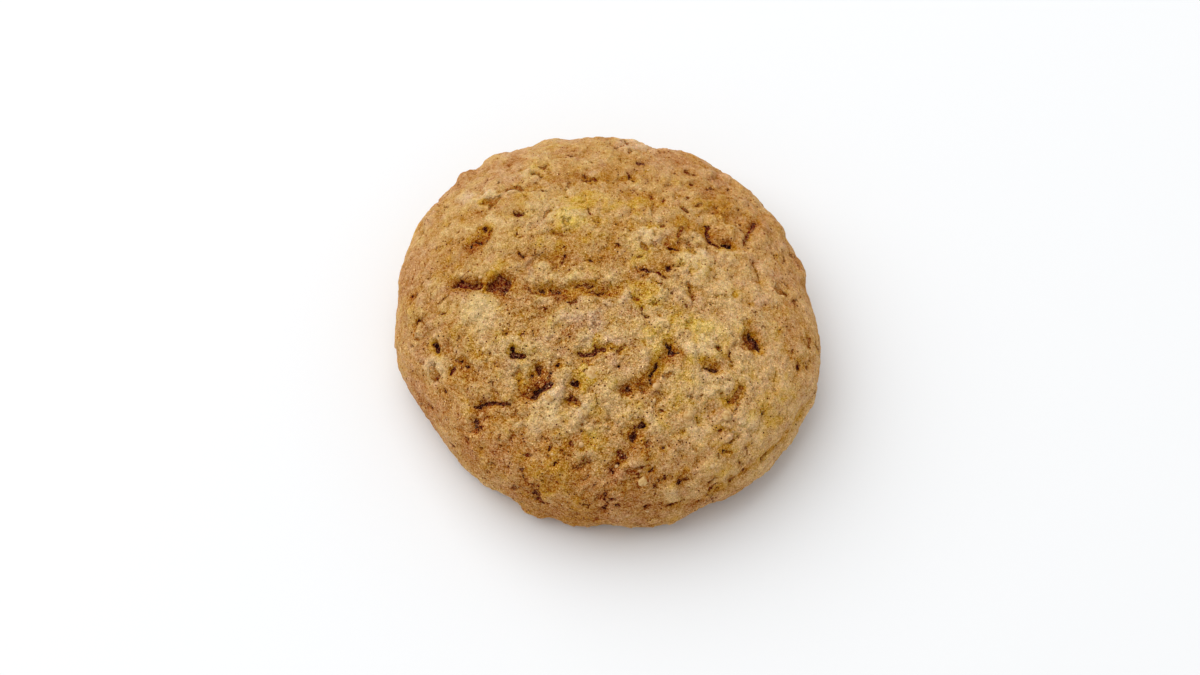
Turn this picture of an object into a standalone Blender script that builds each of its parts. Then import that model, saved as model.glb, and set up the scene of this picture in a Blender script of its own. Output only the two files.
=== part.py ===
"""A walnut cookie: one thick round of baked dough, solid right through.

The form is a low dome over a rolled lower edge and a flat underside. The crust is cracked and
pitted, with pieces of nut that stand up under it. Everything is fused into one closed body that
rests flat on the table, with its crown up.

Lengths are in metres. Places on the crust are given on its map, which is the crust laid flat: so
many millimetres to the right and to the back of the crown, measured along the crust.
"""

from itertools import product

import bmesh
import bpy
import numpy as np

MM = 0.001

# The round of dough
RADIUS = 0.0324
HEIGHT = 0.0228
WAIST_HEIGHT = 0.0070
EDGE_ROLL = 0.0040
DOME_POWER = 2.3
EDGE_POWER = 2.0
OVAL = 0.0011
OVAL_BEARING = 143

# Wide swells and dents of the outline: bearing and half width in degrees, amount in millimetres
SWELLS = (
    (9, 14, -0.75),
    (54, 14, 0.50),
    (143, 10, 0.55),
    (173, 10, -0.40),
    (209, 14, -0.80),
    (263, 18, 0.65),
    (344, 10, 0.45),
)

# Cracks and furrows: width and depth in millimetres, then the places that each runs through
FURROWS = (
    (1.4, 1.1, ((-10.5, -2.0), (-7.3, -2.9), (-2.8, -1.7), (-1.4, -2.5), (2.0, -2.0))),
    (1.4, 0.8, ((-23.0, 0.4), (-21.2, -0.2), (-19.2, 0.2))),
    (1.4, 1.0, ((10.0, 5.0), (13.0, 5.1), (15.0, 5.9), (19.5, 7.0))),
    (1.2, 0.6, ((-8.0, 7.6), (-4.8, 7.8))),
    (1.4, 0.6, ((-3.3, 18.2), (2.5, 18.3), (4.8, 19.4))),
    (1.2, 0.8, ((21.4, 9.1), (22.6, 11.5), (24.5, 14.3))),
    (1.0, 0.6, ((23.1, 5.7), (23.7, 4.0), (23.7, 1.2))),
    (1.4, 1.2, ((10.4, -10.5), (9.0, -12.0), (6.8, -15.4), (5.2, -16.8), (3.2, -17.7))),
    (1.4, 1.0, ((5.4, -22.9), (4.1, -24.6), (2.0, -27.3), (0.9, -28.8))),
    (1.0, 0.6, ((-3.9, -23.1), (0.3, -22.5))),
    (1.3, 0.8, ((-19.0, -19.1), (-20.3, -21.2), (-21.5, -23.2))),
    (1.0, 0.6, ((-19.0, -20.0), (-14.5, -20.2))),
    (1.2, 0.8, ((-20.4, 6.6), (-17.9, 8.4))),
    (1.2, 0.6, ((-14.7, 4.1), (-11.3, 4.0), (-6.8, 3.1), (-3.6, 3.6))),
    (1.4, 1.1, ((-9.4, -14.0), (-10.9, -17.4), (-11.6, -19.1))),
    (1.2, 1.0, ((-4.8, -16.3), (-5.1, -18.1), (-5.7, -19.9))),
    (1.2, 0.8, ((-3.9, -13.0), (-2.1, -12.2), (-0.5, -11.5), (0.8, -11.9))),
    (1.5, 1.4, ((20.9, -7.5), (21.6, -8.6), (22.7, -10.2))),
    (1.3, 0.8, ((14.0, -12.6), (15.8, -13.0), (17.8, -12.1))),
    (1.2, 0.9, ((19.5, -15.9), (18.9, -17.6), (17.8, -18.6))),
    (1.4, 0.8, ((15.1, 11.8), (15.7, 9.3), (17.9, 7.5), (19.8, 8.1))),
    (1.3, 0.6, ((10.7, 15.9), (13.1, 14.3), (15.1, 13.0))),
    (1.3, 0.7, ((4.7, 1.2), (6.5, 1.6), (8.4, 2.7))),
    (1.2, 0.6, ((-29.9, -3.3), (-29.7, -5.4), (-28.5, -7.9), (-26.9, -9.5))),
    (1.3, 0.6, ((-25.4, -12.1), (-23.4, -13.2), (-21.6, -14.4))),
    (1.3, 0.6, ((26.9, -8.9), (28.5, -10.4), (29.0, -12.2))),
    (1.3, 0.6, ((-12.7, -29.6), (-12.2, -31.9), (-11.5, -33.9))),
    (1.3, 0.6, ((10.1, -29.9), (12.1, -30.7), (13.9, -30.1))),
    (1.6, 0.7, ((33.5, -16.0), (30.0, -22.0), (25.0, -27.0), (19.0, -32.0), (12.0, -36.0))),
)

# Pits: place, radius and depth, all in millimetres
PITS = (
    (-16.0, -0.8, 1.5, 1.5),
    (-13.9, -12.5, 1.1, 1.1),
    (-10.0, -14.8, 0.9, 0.9),
    (-4.8, -17.1, 0.9, 1.1),
    (9.8, -11.2, 1.2, 1.2),
    (-27.0, -9.3, 1.0, 0.9),
    (16.5, -10.5, 0.9, 0.8),
    (9.3, 1.7, 0.8, 0.7),
    (-18.1, 8.9, 0.9, 0.7),
    (17.0, 18.0, 1.0, 0.7),
    (-30.0, -4.2, 0.8, 0.7),
    (17.0, -17.4, 0.8, 0.7),
    (29.2, -11.8, 0.8, 0.6),
    (16.8, -22.3, 0.9, 0.7),
    (7.0, -28.5, 0.8, 0.6),
    (-5.5, -19.7, 0.8, 0.5),
)

# Nut pieces that stand up under the crust: place, radius and rise, all in millimetres
NUTS = (
    (-9.2, -18.2, 2.2, 0.5),
    (-2.2, -15.9, 1.6, 0.4),
    (-5.1, -23.1, 1.1, 0.5),
    (-10.0, -29.0, 2.8, 0.4),
    (11.9, -21.3, 1.1, 0.4),
    (17.7, -20.6, 1.2, 0.4),
    (5.4, -31.4, 1.2, 0.4),
    (13.9, 6.7, 1.9, 0.4),
    (7.5, -17.3, 0.9, 0.5),
)

# Bumps and dents along the edge, where the outline steps: place, radius and rise in millimetres
EDGE_BUMPS = (
    (8.7, 32.8, 3.0, -0.9),
    (-9.5, 32.5, 2.2, 0.5),
    (-18.5, 28.5, 2.2, 0.5),
    (-23.0, 25.0, 1.8, 0.7),
    (-20.7, -38.8, 2.0, -1.3),
    (-15.5, -41.0, 2.0, 0.8),
    (1.0, -44.0, 2.2, -0.4),
    (11.5, -42.5, 3.0, 0.35),
    (20.5, -39.0, 2.2, -0.45),
    (29.5, 17.0, 2.2, 0.6),
    (34.5, 9.2, 2.0, 0.5),
)

# Lumps of dough: span and height of each size of lump
LUMPS = ((0.0100, 0.00045), (0.0046, 0.00042), (0.0024, 0.00022))
LUMP_SEED = 41
TABLE_SIZE = 256
NOISE_GAIN = 1.5

# How many widths out a furrow's side starts, and how many radii out that of a pit or a bump
FURROW_REACH = 1.25
ROUND_REACH = 1.5

# Below this height the relief dies out, so that the underside stays one flat face
FADE_HEIGHT = 0.0021

# The grid: cells along each edge of the starting cube, and how far it is drawn up to the dome
CELLS = 34
DRAW_UP = 0.30
PROFILE_STEPS = 1500

CRUST_COLOUR = (0.46, 0.25, 0.075, 1)
CRUST_ROUGHNESS = 0.85


def remove_old_objects():
    for thing in list(bpy.data.objects):
        bpy.data.objects.remove(thing, do_unlink=True)


def smooth_step(value):
    value = np.clip(value, 0, 1)
    return value * value * (3 - 2 * value)


def turn_between(angle, other):
    """The short way round from one angle to the other, in radians."""
    return (angle - other + np.pi) % (2 * np.pi) - np.pi


def side_profile():
    """Distance along the crust from the crown, then radius and height there, down to the middle
    of the underside: part of a superellipse, a quarter turn of the edge, and a flat."""
    turn = np.linspace(0, np.pi / 2, PROFILE_STEPS)
    dome = 2 / DOME_POWER
    edge = 2 / EDGE_POWER
    foot = RADIUS - EDGE_ROLL
    radius = np.concatenate(
        (
            RADIUS * np.sin(turn) ** dome,
            foot + EDGE_ROLL * np.cos(turn[1:]) ** edge,
            np.linspace(foot, 0, PROFILE_STEPS)[1:],
        )
    )
    height = np.concatenate(
        (
            WAIST_HEIGHT + (HEIGHT - WAIST_HEIGHT) * np.cos(turn) ** dome,
            WAIST_HEIGHT - WAIST_HEIGHT * np.sin(turn[1:]) ** edge,
            np.zeros(PROFILE_STEPS - 1),
        )
    )
    steps = np.hypot(np.diff(radius), np.diff(height))
    return np.concatenate(((0,), np.cumsum(steps))), radius, height


ALONG, RADIUS_ALONG, HEIGHT_ALONG = side_profile()
RADIAL_SLOPE = np.gradient(RADIUS_ALONG, ALONG)
HEIGHT_SLOPE = np.gradient(HEIGHT_ALONG, ALONG)


def outline(bearing):
    """How far out the round reaches in each direction, as a share of RADIUS."""
    reach = OVAL * np.cos(2 * (bearing - np.radians(OVAL_BEARING)))
    for middle, half_width, amount in SWELLS:
        away = turn_between(bearing, np.radians(middle)) / np.radians(half_width)
        reach = reach + amount * MM * np.exp(-away * away)
    return 1 + reach / RADIUS


def plain_crust(distance, bearing):
    """The smooth dough before any crack or lump: its points, and the way out from each."""
    radius = np.interp(distance, ALONG, RADIUS_ALONG)
    height = np.interp(distance, ALONG, HEIGHT_ALONG)
    out = -np.interp(distance, ALONG, HEIGHT_SLOPE)
    up = np.interp(distance, ALONG, RADIAL_SLOPE)
    reach = radius * (1 + (outline(bearing) - 1) * radius / RADIUS)
    right, back = np.cos(bearing), np.sin(bearing)
    points = np.stack((reach * right, reach * back, height), axis=-1)
    ways = np.stack((out * right, out * back, up), axis=-1)
    return points, ways / np.linalg.norm(ways, axis=-1, keepdims=True)


def crust_place(right, back):
    """The point of the smooth dough at a place on the map."""
    distance = np.hypot(right, back) * MM
    return plain_crust(distance, np.arctan2(back, right))[0]


def lattice_noise(points, span, draw):
    """Smooth noise of about -1 to 1: a random slope at each corner of a lattice, blended."""
    order = draw.permutation(TABLE_SIZE)
    slopes = draw.uniform(-1, 1, (TABLE_SIZE, 3))
    corner = np.floor(points / span).astype(int)
    inside = points / span - corner
    blend = inside**3 * (inside * (inside * 6 - 15) + 10)
    total = np.zeros(len(points))
    for step in product((0, 1), repeat=3):
        x, y, z = ((corner + step) % TABLE_SIZE).T
        pick = order[(order[(order[x] + y) % TABLE_SIZE] + z) % TABLE_SIZE]
        share = np.prod(np.where(step, blend, 1 - blend), axis=1)
        total += share * np.sum(slopes[pick] * (inside - step), axis=1)
    return total * NOISE_GAIN


def distance_to_line(points, places):
    """How far each point is from a bent line through these places on the map."""
    corners = [crust_place(right, back) for right, back in places]
    nearest = np.full(len(points), np.inf)
    for start, end in zip(corners, corners[1:]):
        run = end - start
        share = np.clip((points - start) @ run / (run @ run), 0, 1)
        gap = points - start - share[:, None] * run
        nearest = np.minimum(nearest, np.linalg.norm(gap, axis=1))
    return nearest


def crust_relief(points):
    """How far the real crust stands out from the smooth dough, in metres."""
    draw = np.random.default_rng(LUMP_SEED)
    relief = np.zeros(len(points))
    for span, height in LUMPS:
        relief += height * lattice_noise(points, span, draw)
    for width, depth, places in FURROWS:
        away = distance_to_line(points, places) / (width * MM)
        relief -= depth * MM * smooth_step(FURROW_REACH - away)
    for right, back, radius, depth in PITS:
        away = np.linalg.norm(points - crust_place(right, back), axis=1) / (radius * MM)
        relief -= depth * MM * smooth_step(ROUND_REACH - away)
    for right, back, radius, rise in NUTS + EDGE_BUMPS:
        away = np.linalg.norm(points - crust_place(right, back), axis=1) / (radius * MM)
        relief += rise * MM * smooth_step(ROUND_REACH - away)
    return relief


def cube_ball():
    """A ball of even cells: a cube cut into a grid, with every vertex as a way out from its
    middle. The tangent keeps the cells near the cube's corners as large as the others."""
    ball = bmesh.new()
    bmesh.ops.create_cube(ball, size=2)
    bmesh.ops.subdivide_edges(ball, edges=ball.edges[:], cuts=CELLS - 1, use_grid_fill=True)
    ways = np.array([vertex.co for vertex in ball.verts])
    ways = np.tan(ways * np.pi / 4)
    return ball, ways / np.linalg.norm(ways, axis=1, keepdims=True)


def make_cookie():
    ball, ways = cube_ball()
    share = np.arccos(np.clip(ways[:, 2], -1, 1)) / np.pi
    distance = ALONG[-1] * (share - DRAW_UP * np.sin(np.pi * share) / np.pi)
    bearing = np.arctan2(ways[:, 1], ways[:, 0])
    points, outward = plain_crust(distance, bearing)
    above_table = smooth_step(points[:, 2] / FADE_HEIGHT)
    points += outward * (crust_relief(points) * above_table)[:, None]
    points[:, 2] = np.maximum(points[:, 2], 0)
    middle = (points.min(axis=0) + points.max(axis=0)) / 2
    points[:, :2] -= middle[:2]
    for vertex, point in zip(ball.verts, points):
        vertex.co = point
    bmesh.ops.recalc_face_normals(ball, faces=ball.faces[:])
    mesh = bpy.data.meshes.new("cookie")
    ball.to_mesh(mesh)
    ball.free()
    mesh.shade_smooth()
    cookie = bpy.data.objects.new("cookie", mesh)
    bpy.context.collection.objects.link(cookie)
    return cookie


def baked_crust():
    material = bpy.data.materials.new("baked crust")
    material.use_nodes = True
    surface = material.node_tree.nodes["Principled BSDF"]
    surface.inputs["Base Color"].default_value = CRUST_COLOUR
    surface.inputs["Roughness"].default_value = CRUST_ROUGHNESS
    surface.inputs["Metallic"].default_value = 0
    return material


remove_old_objects()
cookie = make_cookie()
cookie.data.materials.append(baked_crust())
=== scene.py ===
# %% [markdown]
# # A walnut cookie
#
# A thick round cookie lies on a pale table. Its crust is dry and matt, with cracks, small holes
# and paler nut pieces. This lesson builds that crust as one surface from formulas, and paints it
# with nodes. Lengths are in metres, as Blender has them; places on the crust are in millimetres.

# %% Load the frame
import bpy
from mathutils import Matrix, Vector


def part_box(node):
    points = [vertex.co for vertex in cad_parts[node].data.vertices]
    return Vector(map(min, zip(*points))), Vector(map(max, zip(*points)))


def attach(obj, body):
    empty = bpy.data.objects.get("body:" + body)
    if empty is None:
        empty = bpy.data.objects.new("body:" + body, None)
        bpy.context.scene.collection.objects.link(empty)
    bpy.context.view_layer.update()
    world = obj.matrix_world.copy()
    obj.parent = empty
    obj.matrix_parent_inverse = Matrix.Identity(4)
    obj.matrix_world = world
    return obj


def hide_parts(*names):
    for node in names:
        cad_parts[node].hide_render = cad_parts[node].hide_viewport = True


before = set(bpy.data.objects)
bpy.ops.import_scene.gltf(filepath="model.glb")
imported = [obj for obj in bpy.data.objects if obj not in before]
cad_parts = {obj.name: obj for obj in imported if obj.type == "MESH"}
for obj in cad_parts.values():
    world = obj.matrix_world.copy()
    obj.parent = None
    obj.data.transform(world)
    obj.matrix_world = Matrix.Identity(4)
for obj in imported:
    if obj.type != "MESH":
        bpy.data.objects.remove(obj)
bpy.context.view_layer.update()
low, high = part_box("cookie")
print("the solid is", [round((b - a) * 1000, 1) for a, b in zip(low, high)], "mm")

# %% Tools for whole arrays
from itertools import product

import bpy
import numpy as np
from mathutils import Vector

MM = 0.001
MARGIN = 0.02 * MM

# %% [markdown]
# ## The camera
#
# The photograph looks down at the cookie from the front, at about 61 degrees, from far enough
# away that near and far parts are almost the same size. A long lens does that. The camera is put
# on a line through the cookie's middle, and a small lens shift frames it as in the photograph.

# %% Camera
PICTURE_WIDTH = 1200
CAMERA_HEIGHT_ANGLE = np.radians(61.5)
CAMERA_DISTANCE = 0.450
LENS = 88
AIM = np.array((-0.16, 0.28, 8.5)) * MM
AIM_FROM_MIDDLE = (6.2, 14.75)

backwards = np.array((0, -np.cos(CAMERA_HEIGHT_ANGLE), np.sin(CAMERA_HEIGHT_ANGLE)))
camera_data = bpy.data.cameras.new("camera")
camera_data.lens = LENS
camera_data.sensor_width = 36
camera_data.clip_start = 0.01
camera_data.shift_x = -AIM_FROM_MIDDLE[0] / PICTURE_WIDTH
camera_data.shift_y = -AIM_FROM_MIDDLE[1] / PICTURE_WIDTH
camera = bpy.data.objects.new("camera", camera_data)
camera.location = AIM + backwards * CAMERA_DISTANCE
camera.rotation_euler = Vector(backwards).to_track_quat("Z", "Y").to_euler()
bpy.context.scene.collection.objects.link(camera)
bpy.context.scene.camera = camera
print("the camera looks down at", round(np.degrees(CAMERA_HEIGHT_ANGLE), 1), "degrees")

# %% [markdown]
# ## The dough
#
# A spoonful of stiff dough spreads in the oven into a low dome with a rolled edge and a flat
# underside. Its side view is drawn once, as a run of radius and height measured along the crust
# from the crown. The dome is a superellipse: a power of 2 would be an ellipse, and a little more
# gives the fuller shoulder of the real one. From above it is a slightly oval round, with a few
# wide swells and dents, because no cookie is a true circle.

# %% The side view
RADIUS = 32.4 * MM
HEIGHT = 22.8 * MM
WAIST_HEIGHT = 7.0 * MM
EDGE_ROLL = 4.0 * MM
DOME_POWER = 2.3
PROFILE_STEPS = 1500


def side_profile():
    """Radius is the sine to a power and height the cosine to a power, then a quarter turn of
    the edge, then straight in to the middle of the underside. The distance is their running sum."""
    turn = np.linspace(0, np.pi / 2, PROFILE_STEPS)
    foot = RADIUS - EDGE_ROLL
    dome_radius = RADIUS * np.sin(turn) ** (2 / DOME_POWER)
    dome_height = WAIST_HEIGHT + (HEIGHT - WAIST_HEIGHT) * np.cos(turn) ** (2 / DOME_POWER)
    edge_radius = foot + EDGE_ROLL * np.cos(turn[1:])
    edge_height = WAIST_HEIGHT * (1 - np.sin(turn[1:]))
    flat_radius = np.linspace(foot, 0, PROFILE_STEPS)[1:]
    radius = np.concatenate((dome_radius, edge_radius, flat_radius))
    height = np.concatenate((dome_height, edge_height, np.zeros_like(flat_radius)))
    steps = np.hypot(np.diff(radius), np.diff(height))
    return np.concatenate(((0,), np.cumsum(steps))), radius, height


ALONG, RADIUS_ALONG, HEIGHT_ALONG = side_profile()
RADIAL_SLOPE = np.gradient(RADIUS_ALONG, ALONG)
HEIGHT_SLOPE = np.gradient(HEIGHT_ALONG, ALONG)
print("the crust is", round(ALONG[-1] * 1000, 1), "mm from the crown to the middle of the underside")

# %% The view from above
OVAL = 1.1 * MM
OVAL_BEARING = 143
SWELLS = (
    (9, 14, -0.75), (54, 14, 0.5), (143, 10, 0.55), (173, 10, -0.4), (209, 14, -0.8),
    (263, 18, 0.65), (344, 10, 0.45),
)


def turn_between(angle, other):
    """The short way round from one angle to the other, in radians."""
    return (angle - other + np.pi) % (2 * np.pi) - np.pi


def outline(bearing):
    """One plus a cosine of twice the bearing, for the oval, plus a bell curve for each swell."""
    reach = OVAL * np.cos(2 * (bearing - np.radians(OVAL_BEARING)))
    for middle, half_width, amount in SWELLS:
        away = turn_between(bearing, np.radians(middle)) / np.radians(half_width)
        reach = reach + amount * MM * np.exp(-away * away)
    return 1 + reach / RADIUS


def plain_crust(distance, bearing):
    """The smooth dough at a distance from the crown in a bearing: its points, and the way out
    from each, which is the side view's tangent turned by a right angle."""
    radius = np.interp(distance, ALONG, RADIUS_ALONG)
    height = np.interp(distance, ALONG, HEIGHT_ALONG)
    out = -np.interp(distance, ALONG, HEIGHT_SLOPE)
    up = np.interp(distance, ALONG, RADIAL_SLOPE)
    reach = radius * (1 + (outline(bearing) - 1) * radius / RADIUS)
    right, back = np.cos(bearing), np.sin(bearing)
    points = np.stack((reach * right, reach * back, height), axis=-1)
    ways = np.stack((out * right, out * back, up), axis=-1)
    return points, ways / np.linalg.norm(ways, axis=-1, keepdims=True)


def crust_place(right, back):
    """The point of the smooth dough at a place on the crust laid flat, in millimetres."""
    distance = np.hypot(right, back) * MM
    return plain_crust(distance, np.arctan2(back, right))[0]


# %% [markdown]
# ## An even grid
#
# A globe's grid crowds together at its poles, and a crust needs the same fine grid everywhere.
# So the grid starts as the six sides of a cube, and each point is read as a way out from the
# middle. The tangent evens out the corners. The grid is then drawn up a little towards the dome,
# because the flat underside needs fewer cells.

# %% The grid
CELLS = 127
DRAW_UP = 0.30


def cube_grid(cells):
    """Whole-number points on a cube's sides, shared where sides meet, and the faces between."""
    a, b = (grid.ravel() for grid in np.meshgrid(*[np.arange(cells + 1)] * 2, indexing="ij"))
    near, far = np.zeros_like(a), np.full_like(a, cells)
    sides = ((a, b, far), (b, a, near), (far, a, b), (near, b, a), (b, far, a), (a, near, b))
    corners = np.concatenate([np.stack(side, axis=1) for side in sides])
    places, index = np.unique(corners, axis=0, return_inverse=True)
    index = index.reshape(6, cells + 1, cells + 1)
    one, two, three, four = index[:, :-1, :-1], index[:, 1:, :-1], index[:, 1:, 1:], index[:, :-1, 1:]
    return places, np.stack((one, two, three, four), axis=-1).reshape(-1, 4)


grid_places, crust_faces = cube_grid(CELLS)
ways_out = np.tan((grid_places / CELLS * 2 - 1) * np.pi / 4)
ways_out /= np.linalg.norm(ways_out, axis=1, keepdims=True)
share_down = np.arccos(np.clip(ways_out[:, 2], -1, 1)) / np.pi
crust_distance = ALONG[-1] * (share_down - DRAW_UP * np.sin(np.pi * share_down) / np.pi)
crust_bearing = np.arctan2(ways_out[:, 1], ways_out[:, 0])
smooth_points, outward = plain_crust(crust_distance, crust_bearing)
print(len(smooth_points), "points and", len(crust_faces), "faces")

# %% [markdown]
# ## Noise for dough
#
# Lumps of dough, grains and ragged edges all come from two kinds of noise, worked out in whole
# arrays. One blends random slopes at the corners of a lattice, which gives soft lumps. The other
# scatters one seed in each box of a lattice and measures how far the nearest one is, which gives
# rounded clumps. Each clump also has a number of its own, so that some stand higher than others.
# Both are seeded, so each run bakes the same cookie.

# %% Two kinds of noise
TABLE_SIZE = 256
EVEN_OUT = 1.5


def smooth_step(value):
    """Rises from 0 to 1 as the value does, level at both ends."""
    value = np.clip(value, 0, 1)
    return value * value * (3 - 2 * value)


def folded(corner, order):
    """One table entry for each lattice corner."""
    x, y, z = (corner % TABLE_SIZE).T
    return order[(order[(order[x] + y) % TABLE_SIZE] + z) % TABLE_SIZE]


def lattice_noise(points, span, draw):
    """The blend, over a box's eight corners, of a random slope times the way from the corner."""
    order = draw.permutation(TABLE_SIZE)
    slopes = draw.uniform(-1, 1, (TABLE_SIZE, 3))
    corner = np.floor(points / span).astype(int)
    inside = points / span - corner
    blend = inside**3 * (inside * (inside * 6 - 15) + 10)
    total = np.zeros(len(points))
    for step in product((0, 1), repeat=3):
        pick = folded(corner + step, order)
        share = np.prod(np.where(step, blend, 1 - blend), axis=1)
        total += share * np.sum(slopes[pick] * (inside - step), axis=1)
    return total * EVEN_OUT


def clump_noise(points, span, draw):
    """The distance to the nearest of the seeds, one in each box of a lattice, and a number from 0
    to 1 that is that seed's own."""
    order = draw.permutation(TABLE_SIZE)
    seeds = draw.uniform(0, 1, (TABLE_SIZE, 3))
    own = draw.uniform(0, 1, TABLE_SIZE)
    corner = np.floor(points / span).astype(int)
    inside = points / span - corner
    nearest = np.full(len(points), 9.0)
    number = np.zeros(len(points))
    for step in product((-1, 0, 1), repeat=3):
        pick = folded(corner + step, order)
        away = np.linalg.norm(seeds[pick] + step - inside, axis=1)
        number = np.where(away < nearest, own[pick], number)
        nearest = np.minimum(nearest, away)
    return nearest, number


def ragged(points, pushes, draw):
    """The points, each pushed a little by noise of one span after another, so that what is
    measured from them is uneven. Span and amount of each push are in millimetres."""
    for span, amount in pushes:
        noises = [lattice_noise(points, span * MM, draw) for axis in range(3)]
        points = points + amount * MM * np.stack(noises, axis=1)
    return points


# %% [markdown]
# ## Lumps, cracks and holes
#
# The real crust tells how it baked. It rose in soft lumps, tore in furrows where it dried before
# it had stopped rising, and opened in small holes where steam came out. Each kind is added to one
# number, the height of the crust above the smooth dough. The furrows and holes that show in the
# photograph are placed one by one. Their places are counted in millimetres along the crust from
# its crown, to the right and towards the back. Small crumbs and the gaps between them are
# scattered by a seeded draw.

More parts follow.
